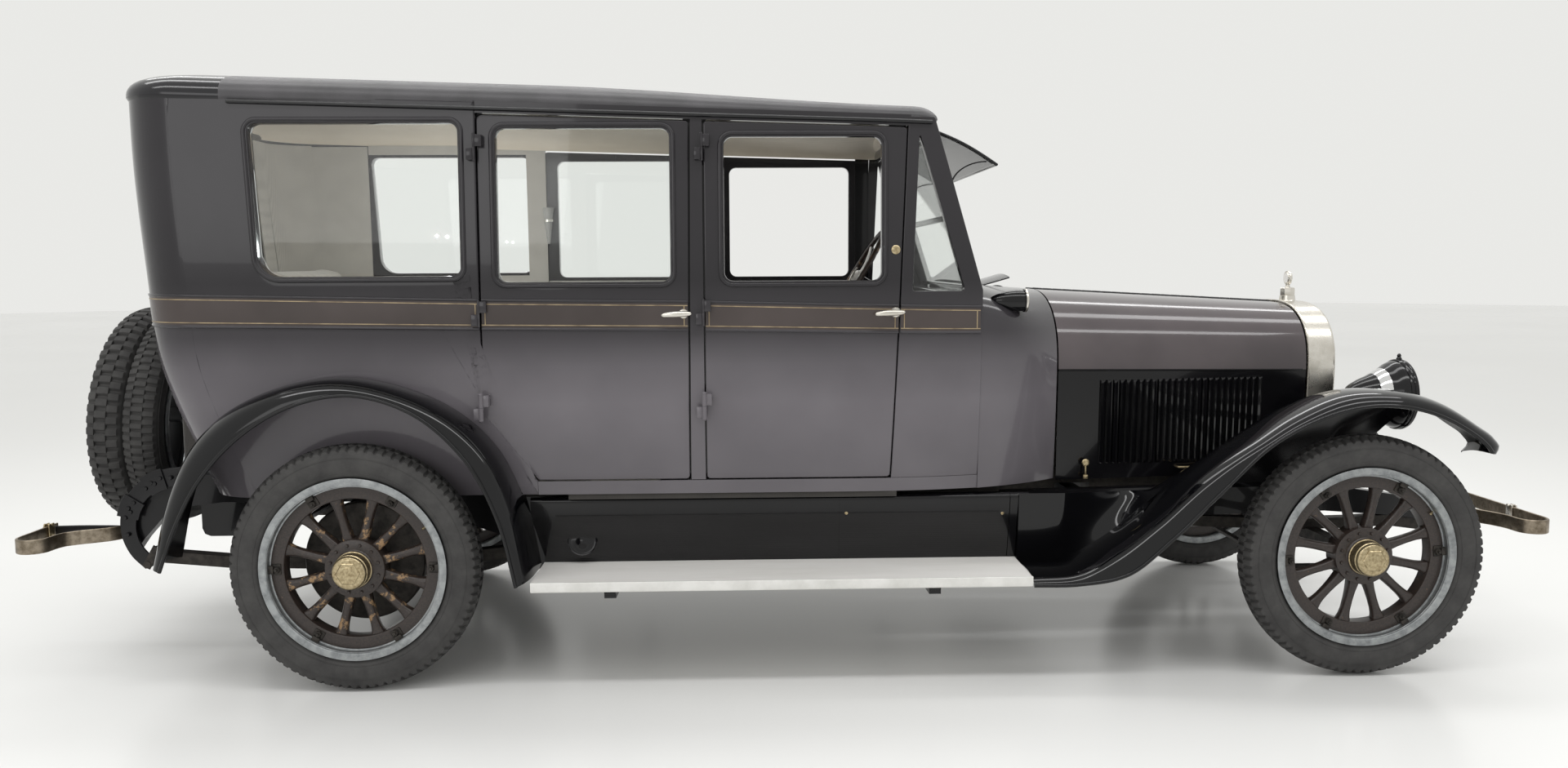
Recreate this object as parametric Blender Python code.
"""A 1920s seven-passenger saloon car, as an assembly of separate pieces with real joints.

Metres, +Z up, +X forward, +Y to the car's left. Inside this script x is the distance ahead of the
rear axle. The empty "chassis", which carries everything, stands at REAR_AXLE_X, so that the origin
of the world lies on the ground below the middle of the car's length. Each moving body has an empty
on its joint's axis, and its pieces hang on that empty.
"""

import math

import bmesh
import bpy
import numpy as np
from mathutils import Matrix, Vector

# Overall plan
WHEELBASE = 3.454
FRONT_OVERHANG = 0.698
REAR_OVERHANG = 1.168
REAR_AXLE_X = (REAR_OVERHANG - FRONT_OVERHANG - WHEELBASE) / 2

# Clearances
SEAT = 0.0003  # between two pieces that touch
DOOR_GAP = 0.005  # round a door or a hood panel
PIN = 0.0006  # at a hinge or a bearing

# Wheels and tyres
AXLE_Z = 0.422  # of both axles, on a drawing whose floor lies under a 0.422 m tyre
TYRE_RADIUS = 0.422
TYRE_SECTION = 0.127
TREAD_SHOULDER = 0.021
BEAD_INSET = 0.012
RIM_RADIUS = 0.313
RIM_WIDTH = 0.116
FELLOE_RADIUS = 0.239
HUB_RADIUS = 0.100
HUB_CAP_RADIUS = 0.060
HUB_FACE = 0.035  # outboard of the wheel's middle plane
HUB_CAP_FACE = 0.109
SPOKES = 12
LUGS = 6
LUG_RADIUS = (0.246, 0.288)
SPOKE_WIDTH = 0.034
SPOKE_DEPTH = 0.044
WHEEL_PLANE = 0.762  # half the track
WHEEL_STEPS = 24
REAR_SPOKE_ANGLE = 15
FRONT_SPOKE_ANGLE = 18
SPINDLE_RADIUS = 0.022
SPINDLE_END = 0.800
BRAKE_DRUM_RADIUS = 0.207
BRAKE_DRUM_WIDTH = 0.045

# Body: each row is height, half width, rear face
BODY_LEVELS = (
    (0.640, 0.650, -0.570),
    (0.800, 0.672, -0.628),
    (0.940, 0.685, -0.680),
    (1.110, 0.695, -0.728),
    (1.230, 0.700, -0.742),
    (1.344, 0.700, -0.750),
    (1.800, 0.690, -0.785),
    (2.050, 0.681, -0.792),
)
# Body seen from above: each row is x, share of the half width
BODY_TAPER = ((1.700, 1.000), (1.860, 0.992), (2.000, 0.968), (2.143, 0.925))
BODY_FRONT = BODY_TAPER[-1][0]
BODY_WALL = 0.045
BODY_CORNER = 0.200
CORNER_STEPS = 4
SILL_Z = BODY_LEVELS[0][0]

# Roof: its seam on the body slopes down to the front
ROOF_SEAM_X = -0.393
ROOF_SEAM_Z = 1.998
ROOF_SLOPE = -0.0298
ROOF_FRONT = 1.985
ROOF_WALL = 0.022
DRIP_RAIL_X = (-0.393, 1.954)
DRIP_RAIL_Y = 0.700
# each row is height over the seam at the rear, height at the front, inset of the outline
ROOF_RINGS = (
    (0.000, 0.000, -0.006),
    (0.034, 0.020, 0.004),
    (0.066, 0.040, 0.045),
    (0.088, 0.054, 0.130),
    (0.104, 0.066, 0.330),
)

# Doors
DOOR_BOTTOM = 0.690
DOOR_BELOW_SEAM = 0.030
DOOR_BEVEL = math.radians(12)
REAR_DOOR_REAR = 0.425
REAR_DOOR_FRONT = (1.127, 1.138)  # at its bottom and top
REAR_DOOR_CUT = ((0.425, 0.915), (0.600, 0.690))
FRONT_DOOR_REAR = 1.183
FRONT_DOOR_FRONT = (1.827, 1.880)
DOOR_HANDLES = {"rear": 1.112, "front": 1.838}  # each stem's place
HANDLE_LENGTH = 0.075
HANDLE_Y = 0.732
HANDLE_Z = 1.270
HINGE_Y = 0.722
HINGE_RADIUS = 0.009
HINGE_HEIGHTS = (0.955, 1.275, 1.830)
HINGE_LENGTH = 0.044
HINGE_REACH = 0.028
HINGE_ROOT = 0.012

# Windows: rear edge at the bottom and top, front edge, bottom, top
QUARTER_WINDOW = (-0.306, -0.330, 0.360, 1.405, 1.910)
REAR_DOOR_WINDOW = (0.487, 0.487, 1.070, 1.380, 1.895)
FRONT_DOOR_WINDOW = (1.253, 1.253, 1.790, 1.380, 1.866)
WING_WINDOW = ((1.897, 1.342), (2.085, 1.342), (1.921, 1.866))
REAR_WINDOW_HALF = 0.350
REAR_WINDOW_Z = (1.470, 1.820)
WINDOW_CORNER = 0.030
GLASS = 0.005
SIDE_GLASS_Y = 0.662
WING_GLASS_INSET = 0.018

# Windshield, dash rail, visor
POST_FOOT = (2.148, 1.345)
POST_HEAD = (1.985, 1.872)
HEADER_DEPTH = 0.050
DASH_RAIL_Z = 1.332
DASH_BOTTOM_Z = 1.130
WINDSHIELD_SETBACK = 0.022
VISOR_REAR_Z = 1.896
VISOR_FRONT = (2.200, 1.777)
VISOR_HALF = 0.600
VISOR_WALL = 0.012
VISOR_LEAN = 0.48  # the sine of its slope

# Cowl and hood: each row is x, half width, height of the side, height of the crown, squareness
COWL_SECTIONS = (
    (2.1433, 0.6450, 1.215, 1.372, 3.2),
    (2.2500, 0.6010, 1.190, 1.352, 3.0),
    (2.3600, 0.5380, 1.110, 1.342, 2.8),
    (2.4600, 0.4620, 1.046, 1.334, 2.6),
)
COWL_WALL = 0.020
COWL_LAMP_X, COWL_LAMP_Y, COWL_LAMP_Z = 2.262, 0.550, 1.303
COWL_LAMP_PROFILE = ((0, -0.073), (0.020, -0.055), (0.034, -0.010), (0.038, 0.035), (0.038, 0.060),
    (0, 0.064))
VENT_LID = ((2.207, 1.350), (2.212, 1.361), (2.347, 1.395), (2.349, 1.387), (2.225, 1.345))
VENT_HALF = 0.170
HOOD_REAR = (0.4600, 1.046, 1.333)  # half width, seam height, crown height
HOOD_FRONT = (0.3350, 1.029, 1.277)
HOOD_REAR_X = 2.465
HOOD_FRONT_X = 3.445
HOOD_SQUARE = 2.6
HOOD_BOTTOM_Z = 0.635
HOOD_SHEET = 0.006
HOOD_TUCK = 0.03
LOUVRES = 26
LOUVRE_X = 2.637  # the rear one's middle
LOUVRE_PITCH = 0.0248
LOUVRE_Z = (0.690, 1.005)
LOUVRE_RISE = 0.007
HOOD_ROD = 0.006
ARC_STEPS = 6

# Radiator
RADIATOR_REAR_X = 3.450
RADIATOR_FRONT_X = 3.560
RADIATOR_HALF = 0.336
RADIATOR_TOP_Z = 1.280
RADIATOR_SHELL = 0.038
RADIATOR_RECESS = 0.022
CAP_RADIUS = 0.026
CAP_TOP_Z = 1.345
GAUGE_RADIUS = 0.029
GAUGE_TOP_Z = 1.400
CAP_X = 3.515

# Headlamps: each row is x, radius
LAMP_Y = 0.450
LAMP_Z = 0.945
LAMP_PROFILE = ((3.540, 0.026), (3.585, 0.052), (3.650, 0.078), (3.700, 0.116), (3.725, 0.130),
    (3.750, 0.130))
LAMP_LENS = (3.772, 0.085)
LAMP_BAR_X = 3.640
LAMP_BAR_Z = 0.790
LAMP_BAR_RADIUS = 0.014
LAMP_POST_Y = 0.385

# Fenders: each row is edge x, edge z, crown x, crown z
FRONT_FENDER = (
    (2.292, 0.350, 2.292, 0.380),
    (2.450, 0.352, 2.450, 0.392),
    (2.608, 0.382, 2.580, 0.460),
    (2.760, 0.502, 2.715, 0.565),
    (2.934, 0.673, 2.870, 0.705),
    (3.096, 0.824, 3.040, 0.825),
    (3.205, 0.888, 3.180, 0.915),
    (3.330, 0.935, 3.345, 0.985),
    (3.480, 0.953, 3.520, 0.997),
    (3.649, 0.921, 3.700, 0.955),
    (3.760, 0.865, 3.825, 0.880),
    (3.838, 0.803, 3.910, 0.801),
)
REAR_FENDER = (
    (-0.617, 0.433, -0.665, 0.440),
    (-0.560, 0.580, -0.615, 0.650),
    (-0.475, 0.735, -0.535, 0.830),
    (-0.340, 0.880, -0.395, 0.965),
    (-0.179, 0.977, -0.205, 1.045),
    (0.034, 1.016, 0.020, 1.062),
    (0.217, 0.960, 0.240, 0.998),
    (0.397, 0.796, 0.440, 0.850),
    (0.498, 0.589, 0.540, 0.655),
    (0.551, 0.367, 0.596, 0.385),
)
FENDER_EDGE_Y = 0.862
FENDER_SHEET = 0.010
FRONT_CROWN_Y = 0.745
REAR_CROWN_Y = 0.745
FRONT_INNER_Y = (0.585, 0.620)  # at the running board, beside the wheel
REAR_INNER_Y = 0.600
VALANCE_X = (2.450, 2.900)

# Running boards and splash aprons
BOARD_X = (0.600, 2.288)
BOARD_TOP_Z = 0.380
BOARD_DEPTH = 0.035
BOARD_INNER_Y = 0.563
APRON_TOP = (0.618, 0.619)  # y, z
APRON_REAR_X = 0.602
APRON_SHEET = 0.010

# Frame: each row is x, middle of the rail, top, bottom
FRAME_RAIL = (
    (-0.860, 0.500, 0.560, 0.425),
    (-0.830, 0.495, 0.630, 0.470),
    (-0.740, 0.480, 0.683, 0.575),
    (-0.560, 0.470, 0.700, 0.595),
    (-0.100, 0.460, 0.700, 0.590),
    (0.200, 0.455, 0.665, 0.540),
    (0.460, 0.455, 0.600, 0.450),
    (2.300, 0.455, 0.600, 0.450),
    (3.000, 0.392, 0.600, 0.490),
    (3.500, 0.385, 0.600, 0.500),
    (3.760, 0.385, 0.560, 0.480),
    (3.930, 0.385, 0.520, 0.455),
)
RAIL_WIDTH = 0.050
CROSS_MEMBERS = (-0.780, -0.380, 0.560, 1.400, 2.100, 2.600, 3.200, 3.505)
HIGH_MEMBERS = (1.400, 3.505)  # over the propeller shaft, and under the radiator
CROSS_WIDTH = 0.060
CROSS_DEPTH = 0.050
BRACKET_X = (0.860, 1.960)

# Bumpers: flat spring steel bent to a loop
BAR_HEIGHT = 0.050
BAR_THICKNESS = 0.010
BAR_Z = 0.507
FRONT_BAR_X = WHEELBASE + FRONT_OVERHANG - BAR_THICKNESS / 2
REAR_BAR_X = -REAR_OVERHANG + BAR_THICKNESS / 2
BUMPER_HALF = 0.760
LOOP_RADIUS = 0.052
CLAMP_INBOARD = 0.240

# Axles and steering
KINGPIN_Y = 0.655
KINGPIN_RADIUS = 0.022
AXLE_BEAM = (0.386, 0.436)
YOKE = (0.360, 0.460)
YOKE_PLATE = 0.018
STEER_ARM = 0.165
STEER_ARM_WIDTH = 0.024
TIE_ROD_RADIUS = 0.011
COLUMN_Y = 0.370
WHEEL_CENTRE = (1.800, 1.380)
COLUMN_RAKE = math.radians(31)
COLUMN_LENGTH = 1.020
STEERING_WHEEL_RADIUS = 0.220

# Floor, seats, engine, tank
FLOOR_TOP_Z = 0.660
REAR_FLOOR_TOP_Z = 0.745
REAR_FLOOR_X = 0.350
ENGINE_X = (2.560, 3.290)
ENGINE_HALF = 0.200
ENGINE_TOP_Z = 1.100
GEARBOX_REAR = 2.170

# Spare wheels, stacked behind the body
SPARE_X = (-0.890, -1.020)
SPARE_Z = 0.860
SPARE_TILT = math.radians(4)

FINISHES = {
    "black_enamel": ((0.010, 0.009, 0.011), 0.18, 0.0),
    "frame_black": ((0.012, 0.012, 0.013), 0.45, 0.0),
    "nickel": ((0.62, 0.60, 0.55), 0.25, 1.0),
    "iron": ((0.06, 0.06, 0.06), 0.55, 0.8),
    "rubber": ((0.035, 0.035, 0.038), 0.85, 0.0),
    "wheel_paint": ((0.030, 0.022, 0.018), 0.40, 0.0),
    "glass": ((0.55, 0.58, 0.58), 0.05, 0.0),
    "roof_fabric": ((0.020, 0.019, 0.018), 0.60, 0.0),
    "aluminium": ((0.50, 0.50, 0.49), 0.40, 1.0),
    "cloth": ((0.30, 0.28, 0.25), 0.90, 0.0),
    "wood": ((0.10, 0.045, 0.02), 0.35, 0.0),
}


def clear_scene():
    for obj in list(bpy.data.objects):
        bpy.data.objects.remove(obj)


# Shapes

def solid(points, faces):
    """One closed mesh object, as triangles that face out."""
    shape = bmesh.new()
    corners = [shape.verts.new(tuple(map(float, p))) for p in points]
    for face in faces:
        shape.faces.new([corners[i] for i in face])
    bmesh.ops.triangulate(shape, faces=shape.faces)
    bmesh.ops.recalc_face_normals(shape, faces=shape.faces)
    if shape.calc_volume(signed=True) < 0:
        bmesh.ops.reverse_faces(shape, faces=shape.faces)
    mesh = bpy.data.meshes.new("solid")
    shape.to_mesh(mesh)
    shape.free()
    obj = bpy.data.objects.new("solid", mesh)
    bpy.context.scene.collection.objects.link(obj)
    return obj


def loft(rings):
    """A closed body through rings of equally many points, with flat ends."""
    count = len(rings[0])
    points = [p for ring in rings for p in ring]
    faces = [list(range(count)), [(len(rings) - 1) * count + i for i in range(count)]]
    for row in range(len(rings) - 1):
        for i in range(count):
            j = (i + 1) % count
            faces.append([row * count + i, row * count + j, (row + 1) * count + j, (row + 1) * count + i])
    return solid(points, faces)


def box(x, y, z):
    """A box from three (low, high) pairs."""
    return loft([[(x[0], y[0], h), (x[1], y[0], h), (x[1], y[1], h), (x[0], y[1], h)] for h in z])


def side_prism(outline, inner_y, outer_y, side=1):
    """An outline in x and z, carried across from inner_y to outer_y on one side of the car."""
    return loft([[(x, side * y, z) for x, z in outline] for y in (inner_y, outer_y)])


def tube(start, end, radius, steps=10, flats=False):
    """A round bar between two points. With flats, radius is to the middle of each flat."""
    start, end = Vector(start), Vector(end)
    turn = (end - start).to_track_quat("Z", "Y").to_matrix()
    if flats:
        radius /= math.cos(math.pi / steps)
    rings = []
    for centre in (start, end):
        rings.append(
            [
                centre + turn @ Vector((radius * math.cos(a), radius * math.sin(a), 0))
                for a in (2 * math.pi * (i + 0.5) / steps for i in range(steps))
            ]
        )
    return loft(rings)


def turned(profile, steps, looped):
    """A profile of (radius, height) turned about Z, flats at radius. Looped profiles make rings."""
    widen = 1 / math.cos(math.pi / steps)
    points, index = [], []
    for radius, height in profile:
        if radius == 0:
            index.append([len(points)] * steps)
            points.append((0, 0, height))
            continue
        index.append(list(range(len(points), len(points) + steps)))
        for i in range(steps):
            angle = 2 * math.pi * (i + 0.5) / steps - math.pi / 2
            points.append((radius * widen * math.cos(angle), radius * widen * math.sin(angle), height))
    faces = []
    for row in range(len(profile) if looped else len(profile) - 1):
        low, high = index[row], index[(row + 1) % len(profile)]
        for i in range(steps):
            j = (i + 1) % steps
            face = [low[i], low[j], high[j], high[i]]
            faces.append(list(dict.fromkeys(face)))
    return solid(points, faces)


def plate(grid, thickness):
    """A curved sheet: the grid's points are its outer face, and the inner one lies thickness below."""
    grid = np.asarray(grid, float)
    rows, columns = grid.shape[:2]
    across = np.gradient(grid, axis=1)
    along = np.gradient(grid, axis=0)
    normal = np.cross(across, along)
    normal /= np.linalg.norm(normal, axis=2, keepdims=True)
    points = np.concatenate([grid.reshape(-1, 3), (grid - normal * thickness).reshape(-1, 3)])
    inner = rows * columns
    faces = []
    for i in range(rows - 1):
        for j in range(columns - 1):
            a, b = i * columns + j, i * columns + j + 1
            c, d = b + columns, a + columns
            faces += [[a, b, c, d], [a + inner, d + inner, c + inner, b + inner]]
    border = [j for j in range(columns)]
    border += [i * columns + columns - 1 for i in range(1, rows)]
    border += [(rows - 1) * columns + j for j in range(columns - 2, -1, -1)]
    border += [i * columns for i in range(rows - 2, 0, -1)]
    for a, b in zip(border, border[1:] + border[:1]):
        faces.append([a, b, b + inner, a + inner])
    return solid(points, faces)


def offset(outline, distance):
    """A convex outline with every edge moved out by distance."""
    points = [Vector(p) for p in outline]
    area = sum(a.x * b.y - b.x * a.y for a, b in zip(points, points[1:] + points[:1]))
    lines = []
    for a, b in zip(points, points[1:] + points[:1]):
        along = (b - a).normalized()
        out = Vector((along.y, -along.x)) * (distance if area > 0 else -distance)
        lines.append((a + out, along))
    moved = []
    for (p, d), (q, e) in zip(lines[-1:] + lines[:-1], lines):
        cross = d.x * e.y - d.y * e.x
        reach = ((q.x - p.x) * e.y - (q.y - p.y) * e.x) / cross
        moved.append(tuple(p + d * reach))
    return moved


def boolean(base, tool, operation):
    modifier = base.modifiers.new(operation, "BOOLEAN")
    modifier.operation = operation
    modifier.object = tool
    mesh = bpy.data.meshes.new_from_object(base.evaluated_get(bpy.context.evaluated_depsgraph_get()))
    base.modifiers.clear()
    base.data = mesh
    bpy.data.objects.remove(tool)
    return base


def join(first, *others):
    for other in others:
        boolean(first, other, "UNION")
    return first


def cut(first, *others):
    for other in others:
        boolean(first, other, "DIFFERENCE")
    return first


def common(first, other):
    return boolean(first, other, "INTERSECT")


def copied(obj):
    twin = obj.copy()
    twin.data = obj.data.copy()
    bpy.context.scene.collection.objects.link(twin)
    return twin


def moved(obj, matrix):
    """The same shape carried by a matrix, which may mirror it."""
    obj.data.transform(matrix)
    if matrix.determinant() < 0:
        obj.data.flip_normals()
    return obj


# Bodies and finishes

def body(name, origin, parent=None):
    """An empty on a joint's axis, which carries the pieces of one moving body."""
    empty = bpy.data.objects.new(name, None)
    bpy.context.scene.collection.objects.link(empty)
    empty.parent = parent
    empty.location = Vector(origin) - (Vector(parent["place"]) if parent else Vector())
    empty["place"] = tuple(origin)
    return empty


def finish(name):
    colour, roughness, metallic = FINISHES[name]
    material = bpy.data.materials.get(name)
    if material is None:
        material = bpy.data.materials.new(name)
        material.use_nodes = True
        shader = material.node_tree.nodes["Principled BSDF"]
        shader.inputs["Base Color"].default_value = (*colour, 1)
        shader.inputs["Roughness"].default_value = roughness
        shader.inputs["Metallic"].default_value = metallic
    return material


def place(obj, name, carrier, finish_name):
    """Names a finished piece, paints it, and hangs it on its body's empty."""
    obj.name = name
    obj.data.name = name
    obj.data.materials.clear()
    obj.data.materials.append(finish(finish_name))
    obj.data.transform(Matrix.Translation(-Vector(carrier["place"])))
    obj.data.shade_smooth()
    obj.data.set_sharp_from_angle(angle=math.radians(35))
    obj.parent = carrier
    return obj


def side_name(side):
    return "left" if side > 0 else "right"


# Body shell

def seam_z(x):
    """Height of the seam between the body and the roof."""
    return ROOF_SEAM_Z + ROOF_SLOPE * (x - ROOF_SEAM_X)


def half_width(z):
    """Half the body's width at a height, behind the taper."""
    return float(np.interp(z, [row[0] for row in BODY_LEVELS], [row[1] for row in BODY_LEVELS]))


def rear_face(z):
    return float(np.interp(z, [row[0] for row in BODY_LEVELS], [row[2] for row in BODY_LEVELS]))


def plan_ring(half, rear, z, inset=0.0, front=BODY_FRONT, corner=BODY_CORNER):
    """The body's outline seen from above, at one height, moved in by inset."""
    radius = max(corner - inset, 0.02)
    side = []
    for k in range(CORNER_STEPS + 1):
        angle = math.pi / 2 * k / CORNER_STEPS
        side.append(
            (rear + inset + radius * (1 - math.cos(angle)), half - inset - radius * (1 - math.sin(angle)))
        )
    for x, share in BODY_TAPER:
        side.append((min(x, front), half * share - inset))
    side[-1] = (front, side[-1][1])

    def height(x):
        return z(x) if callable(z) else z

    left = [(x, y, height(x)) for x, y in side]
    return left + [(x, -y, h) for x, y, h in reversed(left)]


def shell_block(inset=0.0, front=BODY_FRONT, lower=0.0, upper=0.0):
    """The body as one solid block, its surface moved in by inset."""
    rings = []
    for row, (z, half, rear) in enumerate(BODY_LEVELS):
        if row == 0:
            z -= lower
        if row == len(BODY_LEVELS) - 1:
            z += upper
        rings.append(plan_ring(half, rear, z, inset, front))
    return loft(rings)


def above_seam(gap=0.0):
    """Everything over the roof's seam, as a cutter."""
    low, high = -2.0, 4.0
    outline = [(low, seam_z(low) - gap), (high, seam_z(high) - gap), (high, 3.0), (low, 3.0)]
    return side_prism(outline, -1.0, 1.0)


def body_shell():
    """The body's walls, open at the front, with the header over the windshield."""
    shell = cut(shell_block(), shell_block(BODY_WALL, BODY_FRONT + 0.05, lower=0.05, upper=0.05))
    header_z = seam_z(ROOF_FRONT) - HEADER_DEPTH
    header = box((ROOF_FRONT - 0.085, ROOF_FRONT + 0.065), (-0.640, 0.640), (header_z, header_z + 0.2))
    return cut(join(shell, header), above_seam(SEAT))


def rounded(corners, radius, steps=2):
    """A convex outline with its corners rounded. radius is one number, or one for each corner."""
    points = [Vector(p) for p in corners]
    radii = radius if isinstance(radius, (list, tuple)) else [radius] * len(points)
    outline = []
    for before, corner, after, r in zip(points[-1:] + points[:-1], points, points[1:] + points[:1], radii):
        a, b = (before - corner).normalized(), (after - corner).normalized()
        half = a.angle(b) / 2
        centre = corner + (a + b).normalized() * (r / math.sin(half))
        start = corner + a * (r / math.tan(half)) - centre
        end = corner + b * (r / math.tan(half)) - centre
        for k in range(steps + 1):
            outline.append(tuple(centre + start.normalized().slerp(end.normalized(), k / steps) * r))
    return outline


def window_outline(window, rear_corner=WINDOW_CORNER):
    rear_low, rear_high, front, bottom, top = window
    corners = [(rear_low, bottom), (front, bottom), (front, top), (rear_high, top)]
    return rounded(corners, [rear_corner, WINDOW_CORNER, WINDOW_CORNER, WINDOW_CORNER])


def rear_door_outline():

    def top(x):
        return seam_z(x) - DOOR_BELOW_SEAM

    (cut_x, cut_z), (foot_x, foot_z) = REAR_DOOR_CUT
    low, high = REAR_DOOR_FRONT
    return [(cut_x, cut_z), (foot_x, foot_z), (low, DOOR_BOTTOM), (high, top(high)), (cut_x, top(cut_x))]


def front_door_outline():

    def top(x):
        return seam_z(x) - DOOR_BELOW_SEAM

    low, high = FRONT_DOOR_FRONT
    rear = FRONT_DOOR_REAR
    return [(rear, DOOR_BOTTOM), (low, DOOR_BOTTOM), (high, top(high)), (rear, top(rear))]


def door_prism(outline, side):
    """The door's outline carried through the wall, its front edge bevelled so that it can swing out."""
    rings = []
    front = max(x for x, _ in outline)
    middle = (front + min(x for x, _ in outline)) / 2
    skin = half_width(BODY_LEVELS[4][0])
    for y in (0.50, 0.90):
        shift = math.tan(DOOR_BEVEL) * (y - skin)
        rings.append([(x + (shift if x > middle else 0), side * y, z) for x, z in outline])
    return loft(rings)


DOORS = {
    "rear": (rear_door_outline, REAR_DOOR_WINDOW, REAR_DOOR_REAR),
    "front": (front_door_outline, FRONT_DOOR_WINDOW, FRONT_DOOR_REAR),
}


def hinge_x(edge):
    return edge - DOOR_GAP / 2


def hinge_barrel(edge, side, low, high, forward):
    """A hinge's barrel outside the skin, with its leaf into the door or into the pillar behind."""
    x = hinge_x(edge)
    barrel = tube((x, side * HINGE_Y, low), (x, side * HINGE_Y, high), HINGE_RADIUS, 6)
    ahead = 1 if forward else -1
    near, far = x + ahead * (DOOR_GAP / 2 + 0.001), x + ahead * HINGE_REACH
    root = min(half_width(low), half_width(high)) - HINGE_ROOT
    leaf = box(sorted((near, far)), sorted((side * root, side * (HINGE_Y + 0.003))), (low, high))
    return join(barrel, leaf)


def door_hinges(edge, side, forward):
    """The barrels of one door's hinges: those of the door, or those of the pillar below them."""
    barrels = []
    for height in HINGE_HEIGHTS:
        if forward:
            barrels.append(hinge_barrel(edge, side, height + SEAT, height + HINGE_LENGTH, True))
        else:
            barrels.append(hinge_barrel(edge, side, height - HINGE_LENGTH, height, False))
    return barrels


def door_handle(x, side):
    """A lever on a short stem, its free end to the rear."""
    root = half_width(HANDLE_Z) - 0.015
    stem = tube((x, side * root, HANDLE_Z), (x, side * (HANDLE_Y + 0.004), HANDLE_Z), 0.010, 6)
    across = sorted((side * HANDLE_Y, side * (HANDLE_Y + 0.010)))
    lever = box((x - HANDLE_LENGTH, x + 0.030), across, (HANDLE_Z - 0.008, HANDLE_Z + 0.008))
    return join(lever, stem)


def make_doors(shell, bodies):
    for which, (outline, window, edge) in DOORS.items():
        for side in (-1, 1):
            name = f"{which}_door_{side_name(side)}"
            door = common(copied(shell), door_prism(outline(), side))
            cut(door, side_prism(window_outline(window), 0.5, 0.9, side))
            join(door, *door_hinges(edge, side, True))
            join(door, door_handle(DOOR_HANDLES[which], side))
            place(door, name, bodies[name], "black_enamel")
            if which == "rear":
                pane = side_prism(offset(window_outline(window), -SEAT), SIDE_GLASS_Y, SIDE_GLASS_Y
                    + GLASS, side)
                place(pane, f"rear_door_glass_{side_name(side)}", bodies[name], "glass")


def make_tub(shell, chassis):
    tub = shell
    for side in (-1, 1):
        for outline, _, edge in DOORS.values():
            cut(tub, door_prism(offset(outline(), DOOR_GAP), side))
        cut(tub, side_prism(window_outline(QUARTER_WINDOW, 0.070), 0.5, 0.9, side))
        cut(tub, side_prism(WING_WINDOW, 0.5, 0.9, side))
    rear_wall = REAR_FLOOR_TOP_Z - 0.030
    low, high = REAR_WINDOW_Z
    cut(tub, box((-0.95, -0.60), (-REAR_WINDOW_HALF, REAR_WINDOW_HALF), (low, high)))
    cut(tub, box((-0.95, -0.30), (-0.560, 0.560), (0.50, rear_wall)))
    dash = box((2.060, BODY_FRONT - 0.010), (-0.628, 0.628), (DASH_RAIL_Z - 0.035, DASH_RAIL_Z))
    panel = box((2.050, 2.066), (-0.624, 0.624), (DASH_BOTTOM_Z, DASH_RAIL_Z - 0.010))
    join(tub, join(dash, panel))
    (foot_x, foot_z), (head_x, head_z) = POST_FOOT, POST_HEAD
    slope = (head_x - foot_x) / (head_z - foot_z)
    ahead = [(foot_x, foot_z), (foot_x + slope * (2.2 - foot_z), 2.2), (2.6, 2.2), (2.6, foot_z)]
    cut(tub, side_prism(ahead, -1.0, 1.0))
    cut(tub, tube(column_line(0.15), column_line(0.40), 0.030, 8))
    for side in (-1, 1):
        for _, _, edge in DOORS.values():
            join(tub, *door_hinges(edge, side, False))
        root = half_width(seam_z(0.0)) - 0.028
        rings = []
        for x in DRIP_RAIL_X:
            low, high = seam_z(x) - 0.020, seam_z(x) - 0.008
            rings.append([(x, side * y, z) for y, z in ((root, low), (DRIP_RAIL_Y, low),
                (DRIP_RAIL_Y, high), (root, high))])
        join(tub, loft(rings))
    place(tub, "body_tub", chassis, "black_enamel")


def make_fixed_glass(chassis):
    for side in (-1, 1):
        outline = offset(window_outline(QUARTER_WINDOW, 0.070), -SEAT)
        pane = side_prism(outline, SIDE_GLASS_Y, SIDE_GLASS_Y + GLASS, side)
        place(pane, f"quarter_glass_{side_name(side)}", chassis, "glass")
        pane = common(side_prism(offset(WING_WINDOW, -SEAT), 0.5, 0.9, side), shell_block(WING_GLASS_INSET))
        cut(pane, shell_block(WING_GLASS_INSET + GLASS))
        place(pane, f"wing_glass_{side_name(side)}", chassis, "glass")
    low, high = REAR_WINDOW_Z
    low, high = low + SEAT, high - SEAT
    half = REAR_WINDOW_HALF - SEAT
    rings = []
    for z in (low, high):
        x = rear_face(z) + BODY_WALL / 2
        rings.append([(x, -half, z), (x + GLASS, -half, z), (x + GLASS, half, z), (x, half, z)])
    place(loft(rings), "rear_window_glass", chassis, "glass")
    (foot_x, foot_z), (head_x, head_z) = POST_FOOT, POST_HEAD
    slope = (head_x - foot_x) / (head_z - foot_z)
    top = seam_z(ROOF_FRONT) - HEADER_DEPTH - SEAT
    rings = []
    for z, half in ((DASH_RAIL_Z + SEAT, 0.6000), (top, 0.6200)):
        x = foot_x + slope * (z - foot_z) - WINDSHIELD_SETBACK
        rings.append([(x, -half, z), (x + GLASS, -half, z), (x + GLASS, half, z), (x, half, z)])
    place(loft(rings), "windshield_glass", chassis, "glass")


def roof_block(wall=0.0):
    """The roof's dome as one block. A wall makes the smaller block of its hollow."""
    front = ROOF_FRONT
    rings = []
    for rear_height, front_height, inset in ROOF_RINGS:
        def height(x, rear_height=rear_height, front_height=front_height):
            share = min(max((x - 0.6) / (front - 0.6), 0), 1)
            return seam_z(x) + rear_height + (front_height - rear_height) * share - wall
        z = seam_z(0)
        half = half_width(z) - inset - wall
        side = plan_ring(half, rear_face(z) + inset + wall, height, 0.0, front - inset - wall, BODY_CORNER)
        rings.append(side)
    if wall:
        rings[0] = [(x, y, z - 0.02) for x, y, z in rings[0]]
    return loft(rings)


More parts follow.
